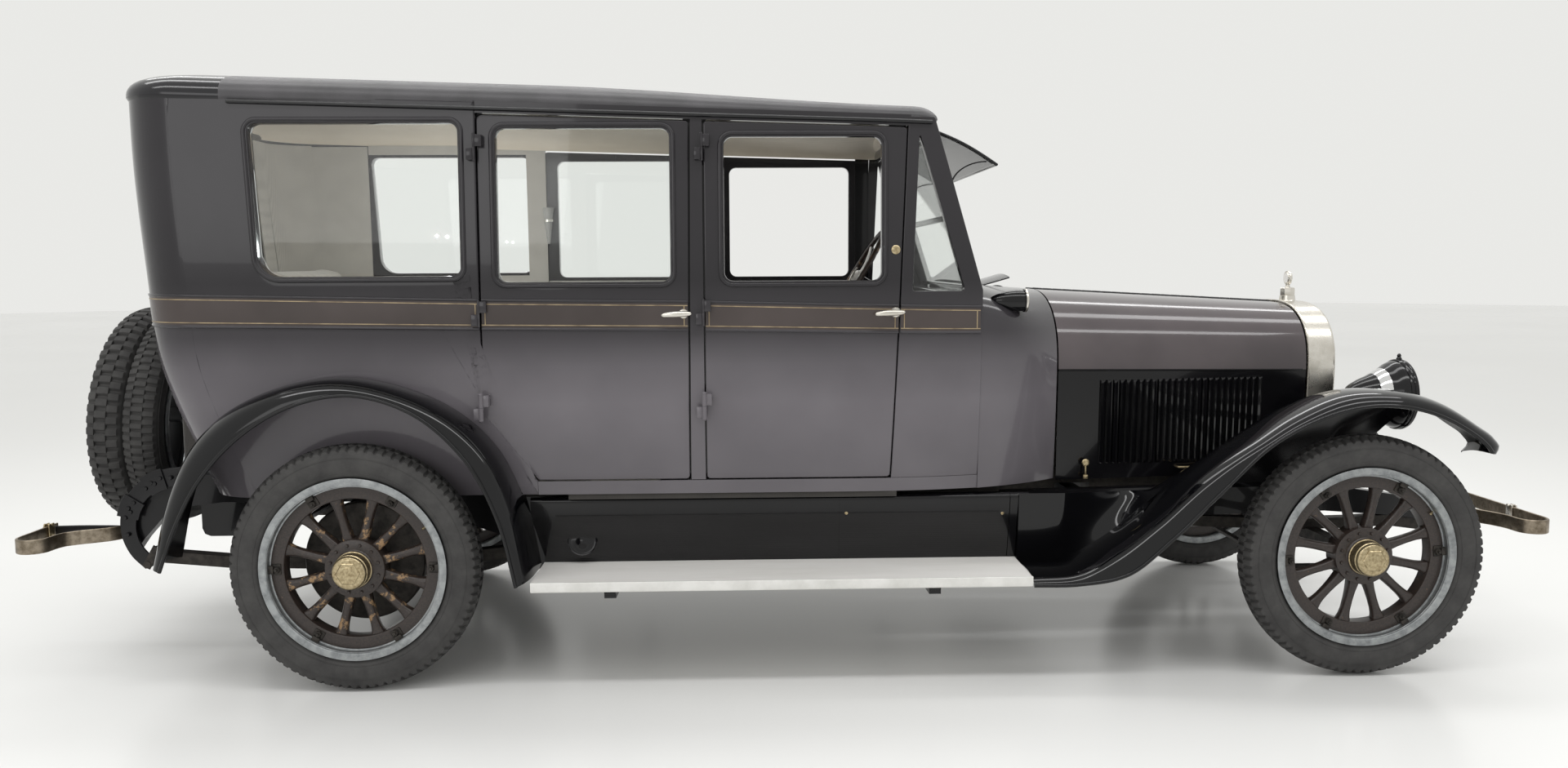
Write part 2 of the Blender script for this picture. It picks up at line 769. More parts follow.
def make_roof(chassis):
    roof = cut(roof_block(), roof_block(ROOF_WALL))
    place(roof, "roof", chassis, "roof_fabric")


def make_visor(chassis):
    (foot_x, foot_z), (head_x, head_z) = POST_FOOT, POST_HEAD
    rear_z, (front_x, front_z) = VISOR_REAR_Z, VISOR_FRONT
    drop = (foot_z - rear_z + VISOR_WALL) / (head_z - foot_z)
    rear_x = foot_x - (head_x - foot_x) * drop + VISOR_WALL * VISOR_LEAN + PIN
    grid = [[(x, y, z) for y in (-VISOR_HALF, VISOR_HALF)] for x, z in ((front_x, front_z),
        (rear_x, rear_z))]
    visor = plate(grid, VISOR_WALL)
    for side in (-1, 1):
        cheek = [(rear_x, rear_z - 0.002), (rear_x + 0.015, rear_z - 0.110), (rear_x + 0.090,
            rear_z - 0.085), (front_x - 0.030, front_z + 0.010)]
        join(visor, side_prism(cheek, VISOR_HALF - 0.013, VISOR_HALF - 0.001, side))
    place(visor, "visor", chassis, "black_enamel")


# Cowl, hood and radiator

def arch(half, side_z, crown_z, square, inset=0.0, steps=ARC_STEPS):
    """Left half of a rounded arch, from its side up to the middle, as (y, z)."""
    points = []
    for k in range(steps + 1):
        angle = math.pi / 2 * k / steps
        y = (half - inset) * math.cos(angle) ** (2 / square) if k < steps else 0.0
        points.append((y, side_z + (crown_z - inset - side_z) * math.sin(angle) ** (2 / square)))
    return points


def arch_ring(x, half, side_z, crown_z, square, bottom_z, inset=0.0):
    """A whole arch section at x, closed along its bottom."""
    low_half = half * 0.940 - inset
    left = [(low_half, bottom_z), (half * 0.985 - inset, (bottom_z + side_z) / 2)]
    left += arch(half, side_z, crown_z, square, inset)
    right = [(-y, z) for y, z in reversed(left[:-1])]
    return [(x, y, z) for y, z in left + right]


def make_cowl(chassis):
    outer = loft([arch_ring(*row, SILL_Z) for row in COWL_SECTIONS])
    hollow = [arch_ring(x, half, side_z, crown_z, square, SILL_Z - 0.03, COWL_WALL) for x, half, side_z,
        crown_z, square in COWL_SECTIONS]
    hollow[0] = [(x - 0.02, y, z) for x, y, z in hollow[0]]
    hollow[-1] = [(x - COWL_WALL, y, z) for x, y, z in hollow[-1]]
    cowl = cut(outer, loft(hollow))
    start, end = column_line(0.40), column_line(0.95)
    cut(cowl, tube(start, end, 0.032, 10))
    crown_rear, crown_front = HOOD_REAR[2], HOOD_FRONT[2]
    slope = (crown_front - crown_rear) / (HOOD_FRONT_X - HOOD_REAR_X)
    back, ahead = HOOD_REAR_X - 0.015, HOOD_FRONT_X + 0.0047
    ends = [(x, 0, crown_rear + slope * (x - HOOD_REAR_X)) for x in (back, ahead)]
    join(cowl, tube(*ends, HOOD_ROD, 8, True))
    for side in (-1, 1):
        lamp = turned(COWL_LAMP_PROFILE, 10, False)
        moved(lamp, Matrix.Translation((COWL_LAMP_X, side * COWL_LAMP_Y,
            COWL_LAMP_Z)) @ Matrix.Rotation(math.pi / 2, 4, "Y"))
        join(cowl, lamp)
    lid = loft([[(x, y, z) for x, z in VENT_LID] for y in (-VENT_HALF, VENT_HALF)])
    join(cowl, lid)
    place(cowl, "cowl", chassis, "black_enamel")


def hood_point(share, y_z):
    y, z = y_z
    return (HOOD_REAR_X + (HOOD_FRONT_X - HOOD_REAR_X) * share, y, z)


def hood_row(share):
    """Half width, seam height and crown height of the hood, part of the way to the front."""
    return [a + (b - a) * share for a, b in zip(HOOD_REAR, HOOD_FRONT)]


def hood_side_y(x, z):
    """How far out the hood's side panel lies."""
    half, seam, _ = hood_row((x - HOOD_REAR_X) / (HOOD_FRONT_X - HOOD_REAR_X))
    return half * (1 - HOOD_TUCK * (seam - z) / (seam - HOOD_BOTTOM_Z))


def make_hood(bodies):
    for side in (-1, 1):
        rings = []
        for share in (0.0, 1.0):
            half, seam, crown = hood_row(share)
            outer = arch(half, seam, crown, HOOD_SQUARE)
            inner = arch(half, seam, crown, HOOD_SQUARE, HOOD_SHEET)
            edge = HOOD_ROD + PIN
            outer[-1] = (edge, crown)
            inner[-1] = (edge, crown - HOOD_SHEET)
            ring = outer + inner[::-1]
            rings.append([hood_point(share, (side * y, z)) for y, z in ring])
        place(loft(rings), f"hood_top_{side_name(side)}", bodies[f"hood_top_{side_name(side)}"],
            "black_enamel")
        rings = []
        for share in (0.0, 1.0):
            half, seam, _ = hood_row(share)
            inner = half - HOOD_SHEET
            top, tuck = seam - PIN, 1 - HOOD_TUCK
            ring = [(half, top), (inner, top), (inner * tuck, HOOD_BOTTOM_Z), (half * tuck, HOOD_BOTTOM_Z)]
            rings.append([hood_point(share, (side * y, z)) for y, z in ring])
        panel = loft(rings)
        for k in range(LOUVRES):
            x = LOUVRE_X + LOUVRE_PITCH * k
            rings = []
            for z in LOUVRE_Z:
                front, rear = hood_side_y(x + 0.008, z), hood_side_y(x - 0.008, z)
                ring = ((x + 0.008, front - 0.002), (x - 0.008, rear - 0.002),
                    (x - 0.008, rear + LOUVRE_RISE))
                rings.append([(a, side * b, z) for a, b in ring])
            join(panel, loft(rings))
        place(panel, f"hood_side_{side_name(side)}", bodies[f"hood_side_{side_name(side)}"], "black_enamel")


def make_radiator(chassis):
    bottom = 0.6003

    def ring(x, inset, low=bottom):
        return arch_ring(x, RADIATOR_HALF, HOOD_FRONT[1], RADIATOR_TOP_Z, HOOD_SQUARE, low, inset)

    bevel = 0.012
    radiator = loft([ring(RADIATOR_REAR_X, 0), ring(RADIATOR_FRONT_X - bevel, 0), ring(RADIATOR_FRONT_X,
        bevel, bottom)])
    recess = loft([ring(RADIATOR_FRONT_X - RADIATOR_RECESS, RADIATOR_SHELL, bottom + 0.06),
        ring(RADIATOR_FRONT_X + 0.05, RADIATOR_SHELL, bottom + 0.06)])
    cut(radiator, recess)
    cap = tube((CAP_X, 0, RADIATOR_TOP_Z - 0.02), (CAP_X, 0, CAP_TOP_Z), CAP_RADIUS, 8)
    gauge = tube((CAP_X - 0.007, 0, GAUGE_TOP_Z - GAUGE_RADIUS), (CAP_X + 0.007, 0, GAUGE_TOP_Z
        - GAUGE_RADIUS), GAUGE_RADIUS, 12)
    stem = tube((CAP_X, 0, CAP_TOP_Z - 0.01), (CAP_X, 0, GAUGE_TOP_Z - GAUGE_RADIUS), 0.008, 8)
    join(radiator, cap, stem, gauge)
    place(radiator, "radiator", chassis, "nickel")


def make_headlamps(chassis):
    bar = tube((LAMP_BAR_X, -LAMP_Y - 0.02, LAMP_BAR_Z), (LAMP_BAR_X, LAMP_Y + 0.02, LAMP_BAR_Z),
        LAMP_BAR_RADIUS, 8)
    for side in (-1, 1):
        lens_x, lens_radius = LAMP_LENS
        profile = [(0, LAMP_PROFILE[0][0] - 0.012)] + [(r, x) for x, r in LAMP_PROFILE] + [(lens_radius,
            lens_x - 0.006), (0, lens_x)]
        lamp = turned(profile, 12, False)
        turn = Matrix(((0, 0, 1, 0), (0, 1, 0, side * LAMP_Y), (-1, 0, 0, LAMP_Z), (0, 0, 0, 1)))
        moved(lamp, turn)
        post = tube((LAMP_BAR_X, side * LAMP_Y, LAMP_BAR_Z - 0.004), (LAMP_BAR_X, side * LAMP_Y,
            LAMP_Z - 0.03), 0.018, 8)
        rail_top = float(np.interp(LAMP_BAR_X, [row[0] for row in FRAME_RAIL],
            [row[2] for row in FRAME_RAIL]))
        leg = tube((LAMP_BAR_X, side * LAMP_POST_Y, rail_top + 0.0020), (LAMP_BAR_X, side * LAMP_POST_Y,
            LAMP_BAR_Z), 0.011, 8)
        join(bar, lamp, post, leg)
    place(bar, "headlamps", chassis, "black_enamel")


# Fenders, running boards, bumpers

def rail_at(x, column):
    """The frame rail's middle (1), top (2) or bottom (3) at x."""
    return float(np.interp(x, [row[0] for row in FRAME_RAIL], [row[column] for row in FRAME_RAIL]))


def fender_station(row, crown_y, inner_y):
    """One row across a fender: rolled edge, outer slope, crown and inner edge."""
    edge_x, edge_z, crown_x, crown_z = row
    points = [(edge_x, FENDER_EDGE_Y, edge_z)]
    for share, inboard in ((0.62, 0.022), (0.92, 0.062)):
        x, z = edge_x + (crown_x - edge_x) * share, edge_z + (crown_z - edge_z) * share
        points.append((x, FENDER_EDGE_Y - inboard, z))
    points.append((crown_x, crown_y, crown_z))
    points.append((crown_x, (crown_y + inner_y) / 2, crown_z - 0.004))
    points.append((crown_x, inner_y, crown_z - 0.018))
    return points


def front_valance(x, inner_y, inner_z):
    """The front fender's inner wall, down to the frame beside the wheel or up to the apron behind it."""
    share = min(max((x - VALANCE_X[0]) / (VALANCE_X[1] - VALANCE_X[0]), 0), 1)
    end_y = APRON_TOP[0] + (rail_at(x, 1) + RAIL_WIDTH / 2 + PIN - APRON_TOP[0]) * share
    end_z = APRON_TOP[1] + (rail_at(x, 2) - 0.004 - APRON_TOP[1]) * share
    fold_y = end_y + (inner_y - end_y) * 0.42
    fold_z = end_z + (inner_z - end_z) * 0.60
    return [(x, fold_y, fold_z), (x, end_y, end_z)]


def fender(stations, side):
    grid = np.array(stations) * (1, side, 1)
    return plate(grid if side > 0 else grid[::-1], FENDER_SHEET)


def make_fenders(chassis):
    for side in (-1, 1):
        stations = []
        for row in FRONT_FENDER:
            share = min(max((row[2] - VALANCE_X[0]) / (VALANCE_X[1] - VALANCE_X[0]), 0), 1)
            inner_y = FRONT_INNER_Y[0] + (FRONT_INNER_Y[1] - FRONT_INNER_Y[0]) * share
            station = fender_station(row, FRONT_CROWN_Y, inner_y)
            stations.append(station + front_valance(row[2], inner_y, station[-1][2]))
        place(fender(stations, side), f"front_fender_{side_name(side)}", chassis, "black_enamel")
        stations = [fender_station(row, REAR_CROWN_Y, REAR_INNER_Y) for row in REAR_FENDER]
        rear = cut(fender(stations, side), shell_block(-SEAT))
        place(rear, f"rear_fender_{side_name(side)}", chassis, "black_enamel")


def make_running_boards(chassis):
    for side in (-1, 1):
        board = box(BOARD_X, sorted((side * BOARD_INNER_Y, side * FENDER_EDGE_Y)),
            (BOARD_TOP_Z - BOARD_DEPTH, BOARD_TOP_Z))
        top_y, top_z = APRON_TOP
        low_y = BOARD_INNER_Y
        low_z = BOARD_TOP_Z - BOARD_DEPTH / 2
        ring = [(low_y - 0.001, low_z), (low_y + APRON_SHEET, low_z), (top_y, top_z), (top_y - APRON_SHEET,
            top_z)]
        apron = loft([[(x, side * y, z) for y, z in ring] for x in (APRON_REAR_X, BOARD_X[1] - 0.001)])
        place(join(board, apron), f"running_board_{side_name(side)}", chassis, "aluminium")


def strip(path, height, thickness, z):
    """A flat bar on edge, bent along a path of (x, y)."""
    path = np.array(path, float)
    along = np.gradient(path, axis=0)
    along /= np.linalg.norm(along, axis=1, keepdims=True)
    out = np.stack([-along[:, 1], along[:, 0]], axis=1) * thickness / 2
    rings = []
    for p, n in zip(path, out):
        rings.append([(*(p - n), z - height / 2), (*(p + n), z - height / 2), (*(p + n), z + height / 2),
            (*(p - n), z + height / 2)])
    return loft(rings)


def half_turn(centre_x, centre_y, radius, start, sweep, steps=6):
    return [
        (centre_x + radius * math.cos(start + sweep * k / steps), centre_y + radius * math.sin(start
        + sweep * k / steps))
        for k in range(steps + 1)
    ]


def make_bumpers(chassis):
    """Front: a straight bar whose ends loop back to the frame. Rear: two short loops beside the spares."""
    r = LOOP_RADIUS
    horn_x = FRAME_RAIL[-1][0]
    horn_y = FRAME_RAIL[-1][1]
    end_y = BUMPER_HALF - r
    loop = half_turn(FRONT_BAR_X - r, end_y, r, 0, math.pi)
    back = [(FRONT_BAR_X - 2 * r - 0.004, end_y - 0.06), (FRONT_BAR_X - 2 * r - 0.045, end_y - 0.13),
        (horn_x + 0.070, horn_y + 0.16), (horn_x + 0.030, horn_y + 0.02), (horn_x + 0.026, horn_y - 0.06)]
    half = [(FRONT_BAR_X, 0.0)] + loop + back
    whole = [(x, -y) for x, y in reversed(half[1:])] + half
    bumper = strip(whole, BAR_HEIGHT, BAR_THICKNESS, BAR_Z)
    for side in (-1, 1):
        arm = box((horn_x + SEAT, horn_x + 0.032), sorted((side * (horn_y - 0.022),
            side * (horn_y + 0.022))), (BAR_Z - 0.022, BAR_Z + 0.010))
        join(bumper, arm)
        y = (side * (BUMPER_HALF - CLAMP_INBOARD - 0.022), side * (BUMPER_HALF - CLAMP_INBOARD + 0.022))
        clamp = box((FRONT_BAR_X - 0.016, FRONT_BAR_X + BAR_THICKNESS / 2), sorted(y), (BAR_Z - 0.032,
            BAR_Z + 0.032))
        join(bumper, clamp)
    place(bumper, "front_bumper", chassis, "nickel")
    rear_x, rear_y = FRAME_RAIL[0][0], FRAME_RAIL[0][1]
    for side in (-1, 1):
        outer = half_turn(REAR_BAR_X + r, end_y - 0.01, r, math.pi, -math.pi)
        front = [(REAR_BAR_X + 2 * r + 0.004, end_y - 0.07), (REAR_BAR_X + 2 * r + 0.060, end_y - 0.12),
            (rear_x - 0.060, rear_y + 0.045), (rear_x - 0.030, rear_y - 0.020)]
        path = [(REAR_BAR_X, 0.470)] + outer + front
        bar = strip([(x, side * y) for x, y in path], BAR_HEIGHT, BAR_THICKNESS, BAR_Z - 0.010)
        arm = box((rear_x - 0.036, rear_x - SEAT), sorted((side * (rear_y - 0.022),
            side * (rear_y + 0.022))), (BAR_Z - 0.032, BAR_Z + 0.012))
        stay = strip([(REAR_BAR_X + 0.002, side * 0.490), (rear_x - 0.020, side * 0.505)], 0.030, 0.012,
            BAR_Z - 0.005)
        place(join(bar, arm, stay), f"rear_bumper_{side_name(side)}", chassis, "nickel")


# Chassis

def member_z(x):
    """A cross member's middle height: half way up the rails, or level with their tops."""
    if x in HIGH_MEMBERS:
        return rail_at(x, 2) - CROSS_DEPTH / 2
    return (rail_at(x, 2) + rail_at(x, 3)) / 2


def make_frame(chassis):
    frame = None
    for side in (-1, 1):
        rings = []
        for x, middle, top, bottom in FRAME_RAIL:
            low, high = side * (middle - RAIL_WIDTH / 2), side * (middle + RAIL_WIDTH / 2)
            rings.append([(x, low, bottom), (x, high, bottom), (x, high, top), (x, low, top)])
        rail = loft(rings)
        frame = rail if frame is None else join(frame, rail)
    for x in CROSS_MEMBERS:
        reach, middle = rail_at(x, 1), member_z(x)
        across = (x - CROSS_WIDTH / 2, x + CROSS_WIDTH / 2)
        join(frame, box(across, (-reach, reach), (middle - CROSS_DEPTH / 2, middle + CROSS_DEPTH / 2)))
    for x in BRACKET_X:
        for side in (-1, 1):
            outline = [(0.470, 0.300), (0.830, 0.318), (0.830, BOARD_TOP_Z - BOARD_DEPTH - SEAT),
                (0.540, BOARD_TOP_Z - BOARD_DEPTH - SEAT), (0.500, 0.470), (0.470, 0.470)]
            bracket = loft([[(x + dx, side * y, z) for y, z in outline] for dx in (-0.02, 0.02)])
            join(frame, bracket)
    place(frame, "chassis_frame", chassis, "frame_black")


def leaf_spring(side, y, points, thickness):
    """A curved bundle of leaves: points are (x, z) along its upper face."""
    rings = []
    for x, z in points:
        rings.append([(x, side * (y - 0.025), z - thickness), (x, side * (y + 0.025), z - thickness),
            (x, side * (y + 0.025), z), (x, side * (y - 0.025), z)])
    return loft(rings)


def make_axles(chassis):
    axle_x = WHEELBASE
    beam = box((axle_x - 0.025, axle_x + 0.025), (-KINGPIN_Y, KINGPIN_Y), AXLE_BEAM)
    for side in (-1, 1):
        boss = tube((axle_x, side * KINGPIN_Y, YOKE[0]), (axle_x, side * KINGPIN_Y, YOKE[1]),
            KINGPIN_RADIUS, 10)
        reach = 0.46
        points = []
        for k in range(7):
            share = k / 3 - 1
            x = axle_x + reach * share - 0.02
            top = rail_at(x, 3) - SEAT if abs(share) == 1 else 0.470 + 0.024 * share * share
            points.append((x, top))
        spring = leaf_spring(side, 0.385, points, 0.040)
        join(beam, boss, spring)
    place(beam, "front_axle", chassis, "iron")
    tube_radius = 0.040
    rear = tube((0, -0.610, AXLE_Z), (0, 0.610, AXLE_Z), tube_radius, 10)
    drop = turned([(0, -0.11), (0.09, -0.10), (0.155, -0.03), (0.155, 0.03), (0.09, 0.10), (0, 0.11)], 12,
        False)
    moved(drop, Matrix.Translation((0, 0, AXLE_Z)) @ Matrix.Rotation(math.pi / 2, 4, "X"))
    torque_tube = tube((0.05, 0, AXLE_Z), (GEARBOX_REAR - 0.002, 0, 0.455), 0.040, 10)
    join(rear, drop, torque_tube)
    for side in (-1, 1):
        points = [(-0.800, 0.415), (-0.550, 0.392), (-0.250, 0.385), (0.0, 0.388), (0.300, 0.400),
            (0.600, 0.430), (0.780, 0.4497)]
        spring = leaf_spring(side, 0.455, points, 0.042)
        spindle = tube((0, side * 0.600, AXLE_Z), (0, side * SPINDLE_END, AXLE_Z), SPINDLE_RADIUS - 0.0004,
            24)
        plate_disc = tube((0, side * 0.600, AXLE_Z), (0, side * 0.628, AXLE_Z), 0.190, 14)
        join(rear, spring, plate_disc, spindle)
    place(rear, "rear_axle", chassis, "iron")


def make_knuckles(bodies):
    axle_x = WHEELBASE
    for side in (-1, 1):
        low, high = YOKE
        reach = (axle_x - 0.028, axle_x + 0.028)
        across = sorted((side * (KINGPIN_Y - 0.024), side * 0.700))
        upper = box(reach, across, (high + SEAT, high + YOKE_PLATE))
        lower = box(reach, across, (low - YOKE_PLATE, low - SEAT))
        web = box(reach, sorted((side * (KINGPIN_Y + 0.028), side * 0.700)), (low - 0.010, high + 0.010))
        spindle = tube((axle_x, side * 0.690, AXLE_Z), (axle_x, side * SPINDLE_END, AXLE_Z), SPINDLE_RADIUS
            - 0.0004, 24)
        y = (side * (KINGPIN_Y - STEER_ARM_WIDTH / 2), side * (KINGPIN_Y + STEER_ARM_WIDTH / 2))
        arm = box((axle_x - STEER_ARM - 0.015, axle_x), sorted(y), (low - YOKE_PLATE, low - SEAT))
        name = f"knuckle_{side_name(side)}"
        place(join(upper, web, lower, spindle, arm), name, bodies[name], "iron")
    z = YOKE[0] - YOKE_PLATE - SEAT
    x = axle_x - STEER_ARM
    rod = tube((x, -KINGPIN_Y, z - 0.016), (x, KINGPIN_Y, z - 0.016), TIE_ROD_RADIUS, 8)
    for side in (-1, 1):
        join(rod, tube((x, side * KINGPIN_Y, z - 0.032), (x, side * KINGPIN_Y, z), 0.016, 8))
    place(rod, "tie_rod", bodies["tie_rod"], "iron")


def wheel_shape(spoke_angle, drum):
    """A wooden wheel about Z, its outer side up: rim and felloe, spokes, hub with a blind bore."""
    rim_half, felloe_half = RIM_WIDTH / 2, 0.028
    rim = [
        (RIM_RADIUS, -rim_half), (RIM_RADIUS, rim_half), (0.292, rim_half), (0.284, felloe_half + 0.004),
        (FELLOE_RADIUS, felloe_half), (FELLOE_RADIUS, -felloe_half), (0.284, -felloe_half - 0.004),
        (0.292, -rim_half),
    ]
    wheel = turned(rim, WHEEL_STEPS, True)
    bore = SPINDLE_RADIUS
    hub = [(0, HUB_CAP_FACE), (HUB_CAP_RADIUS - 0.010, HUB_CAP_FACE), (HUB_CAP_RADIUS, HUB_CAP_FACE
        - 0.010), (HUB_CAP_RADIUS, HUB_FACE + 0.006), (HUB_RADIUS, HUB_FACE), (HUB_RADIUS, -HUB_FACE)]
    if drum:
        hub += [(0.062, -HUB_FACE - 0.004), (0.062, -0.078), (BRAKE_DRUM_RADIUS, -0.078),
            (BRAKE_DRUM_RADIUS, -0.078 - BRAKE_DRUM_WIDTH), (BRAKE_DRUM_RADIUS - 0.008,
            -0.078 - BRAKE_DRUM_WIDTH), (BRAKE_DRUM_RADIUS - 0.008, -0.086), (bore, -0.086)]
    else:
        hub += [(0.050, -HUB_FACE - 0.004), (0.050, -0.058), (bore, -0.058)]
    hub += [(bore, SPINDLE_END - WHEEL_PLANE + 0.004), (0, SPINDLE_END - WHEEL_PLANE + 0.004)]
    hub = turned(hub, SPOKES, False)
    points, faces = [], []
    for k in range(SPOKES):
        angle = math.radians(spoke_angle + 360 / SPOKES * k)
        radial = Vector((math.cos(angle), math.sin(angle), 0))
        across = Vector((-radial.y, radial.x, 0))
        base = len(points)
        for radius, width, depth in ((0.072, SPOKE_WIDTH, SPOKE_DEPTH), (FELLOE_RADIUS + 0.012,
                SPOKE_WIDTH, SPOKE_DEPTH - 0.004)):
            for s, t in ((-1, -1), (1, -1), (1, 1), (-1, 1)):
                points.append(radial * radius + across * (s * width / 2) + Vector((0, 0, t * depth / 2)))
        faces += [[base + i for i in face] for face in ((0, 1, 2, 3), (4, 5, 6, 7), (0, 1, 5, 4),
            (1, 2, 6, 5), (2, 3, 7, 6), (3, 0, 4, 7))]
    wheel = join(wheel, solid(points, faces), hub)
    for k in range(LUGS):
        angle = math.radians(spoke_angle - 15 + 360 / LUGS * k)
        lug = box((LUG_RADIUS[0], LUG_RADIUS[1]), (-0.018, 0.018), (felloe_half - 0.010, felloe_half
            + 0.018))
        join(wheel, moved(lug, Matrix.Rotation(angle, 4, "Z")))
    return wheel


def tyre_shape():
    """A tyre about Z, with a flat tread."""
    half = TYRE_SECTION / 2
    bead = RIM_RADIUS + SEAT
    shoulder = TYRE_RADIUS - TREAD_SHOULDER
    widest = (TYRE_RADIUS + RIM_RADIUS) / 2
    outer = [(TYRE_RADIUS, 0.032), (shoulder, half - 0.008), (widest, half),
        (bead, RIM_WIDTH / 2 - BEAD_INSET)]
    profile = [(r, -z) for r, z in reversed(outer)] + outer
    return turned(profile, WHEEL_STEPS, True)


def upright(side, x, y, z):
    """Turns a wheel's own Z to point outboard on its side of the car, at a place."""
    turn = Matrix(((1, 0, 0), (0, 0, side), (0, 1, 0))).to_4x4()
    return Matrix.Translation((x, side * y, z)) @ turn


def make_wheels(bodies):
    for end, x, angle in (("front", WHEELBASE, FRONT_SPOKE_ANGLE), ("rear", 0.0, REAR_SPOKE_ANGLE)):
        wheel, tyre = wheel_shape(angle, end == "rear"), tyre_shape()
        for side in (-1, 1):
            name = f"wheel_{end}_{side_name(side)}"
            matrix = upright(side, x, WHEEL_PLANE, AXLE_Z)
            place(moved(copied(wheel), matrix), name, bodies[name], "wheel_paint")
            place(moved(copied(tyre), matrix), f"tyre_{end}_{side_name(side)}", bodies[name], "rubber")
        bpy.data.objects.remove(wheel)
        bpy.data.objects.remove(tyre)


def make_spares(chassis):
    rims = None
    for x, name in zip(SPARE_X, ("inner", "outer")):
        matrix = Matrix.Translation((x, 0, SPARE_Z)) @ Matrix.Rotation(SPARE_TILT - math.pi / 2, 4, "Y")
        place(moved(tyre_shape(), matrix), f"spare_tyre_{name}", chassis, "rubber")
        rim_half = RIM_WIDTH / 2
        rim = turned([(RIM_RADIUS, -rim_half), (RIM_RADIUS, rim_half), (0.292, rim_half), (0.284, 0.020),
            (0.284, -0.020), (0.292, -rim_half)], WHEEL_STEPS, True)
        moved(rim, matrix)
        rims = rim if rims is None else join(rims, rim)
    middle = (SPARE_X[0] + SPARE_X[1]) / 2
    matrix = Matrix.Translation((middle, 0, SPARE_Z)) @ Matrix.Rotation(SPARE_TILT - math.pi / 2, 4, "Y")
    bars = []
    for angle in (90, 210, 330):
        radial = Vector((math.cos(math.radians(angle)), math.sin(math.radians(angle)), 0))
        across = Vector((-radial.y, radial.x, 0)) * 0.020
        ring = []
        for radius, half in ((0.020, 0.075), (0.290, 0.095)):
            ring.append([radial * radius + s * across + Vector((0, 0, t * half)) for s, t in ((-1, -1),
                (1, -1), (1, 1), (-1, 1))])
        bars.append(moved(loft(ring), matrix))
    hub = moved(turned([(0, -0.085), (0.045, -0.085), (0.045, 0.085), (0, 0.085)], 10, False), matrix)
    low = member_z(CROSS_MEMBERS[0]) + CROSS_DEPTH / 2 + SEAT
    foot = ((-0.800, -0.045), (-0.760, -0.045), (-0.760, 0.045), (-0.800, 0.045))
    head = ((-0.940, -0.035), (-0.900, -0.035), (-0.900, 0.035), (-0.940, 0.035))
    rings = [[(x, y, z) for x, y in outline] for outline, z in ((foot, low), (foot, 0.700), (head, 0.900))]
    carrier = join(rims, *bars, hub, loft(rings))
    place(carrier, "spare_carrier", chassis, "iron")


# Inside

def column_line(distance):
    """A point on the steering column's axis, below the wheel's centre by a distance."""
    x, z = WHEEL_CENTRE
    return (x + distance * math.cos(COLUMN_RAKE), COLUMN_Y, z - distance * math.sin(COLUMN_RAKE))


def make_steering(bodies, chassis):
    column = tube(column_line(0.030), column_line(COLUMN_LENGTH), 0.019, 10)
    end = column_line(COLUMN_LENGTH)
    gearbox = box((end[0] - 0.050, end[0] + 0.030), (COLUMN_Y - 0.030, COLUMN_Y + 0.030),
        (0.6003, end[2] + 0.020))
    place(join(column, gearbox), "steering_column", chassis, "black_enamel")
    turn = Matrix.Translation((WHEEL_CENTRE[0], COLUMN_Y, WHEEL_CENTRE[1])) @ Matrix.Rotation(-(math.pi / 2
        - COLUMN_RAKE), 4, "Y")
    radius = STEERING_WHEEL_RADIUS
    rim = turned([(radius + 0.013, 0), (radius, 0.011), (radius - 0.013, 0), (radius, -0.011)], 20, True)
    hub = turned([(0, 0.016), (0.030, 0.012), (0.030, -0.024), (0, -0.0295)], 8, False)
    for k in range(4):
        angle = math.radians(45 + 90 * k)
        radial = Vector((math.cos(angle), math.sin(angle), 0))
        join(hub, tube(radial * 0.015, radial * (radius - 0.001), 0.008, 6))
    place(moved(join(rim, hub), turn), "steering_wheel", bodies["steering_wheel"], "wood")


def make_floor(chassis):
    wall = half_width(SILL_Z) - BODY_WALL
    front = box((2.060, 2.430), (-0.390, 0.390), (0.625, FLOOR_TOP_Z))
    middle = box((REAR_FLOOR_X, 2.120), (-0.7, 0.7), (SILL_Z + 0.001, FLOOR_TOP_Z))
    rear = box((-0.800, REAR_FLOOR_X + 0.020), (-0.7, 0.7), (REAR_FLOOR_TOP_Z - 0.028, REAR_FLOOR_TOP_Z))
    step = box((REAR_FLOOR_X, REAR_FLOOR_X + 0.020), (-0.7, 0.7), (SILL_Z + 0.001, REAR_FLOOR_TOP_Z))
    floor = join(common(join(middle, rear, step), shell_block(BODY_WALL + SEAT)), front)
    for side in (-1, 1):
        join(floor, box((0.480, 2.250), sorted((side * 0.432, side * 0.476)), (0.6003, 0.650)))
        across = sorted((side * (wall - 0.02), side * (half_width(SILL_Z) - 0.004)))
        ledge = box((0.700, 1.850), across, (0.6203, SILL_Z - SEAT))
        riser = box((0.700, 1.850), sorted((side * (wall - 0.02), side * (wall - 0.001))), (0.630, 0.650))
        join(ledge, riser)
        join(floor, ledge)
    place(floor, "floor", chassis, "frame_black")


def make_seats(chassis):
    base = FLOOR_TOP_Z + SEAT
    front = loft([[(x, y, z) for y, z in ((-0.560, base), (0.560, base), (0.560, 0.960), (-0.560, 0.960))]
        for x in (1.120, 1.560)])
    back = loft([[(x, y, z) for y in (-0.560, 0.560)] + [(x + 0.13, y, z) for y in (0.560, -0.560)] for x,
        z in ((1.130, 0.940), (1.040, 1.370))])
    place(join(front, back), "front_seat", chassis, "cloth")
    base = REAR_FLOOR_TOP_Z + SEAT
    rear = box((-0.480, 0.090), (-0.560, 0.560), (base, 1.030))
    back = loft([[(x, y, z) for y in (-0.560, 0.560)] + [(x + 0.16, y, z) for y in (0.560, -0.560)] for x,
        z in ((-0.520, 0.990), (-0.640, 1.425))])
    place(join(rear, back), "rear_seat", chassis, "cloth")


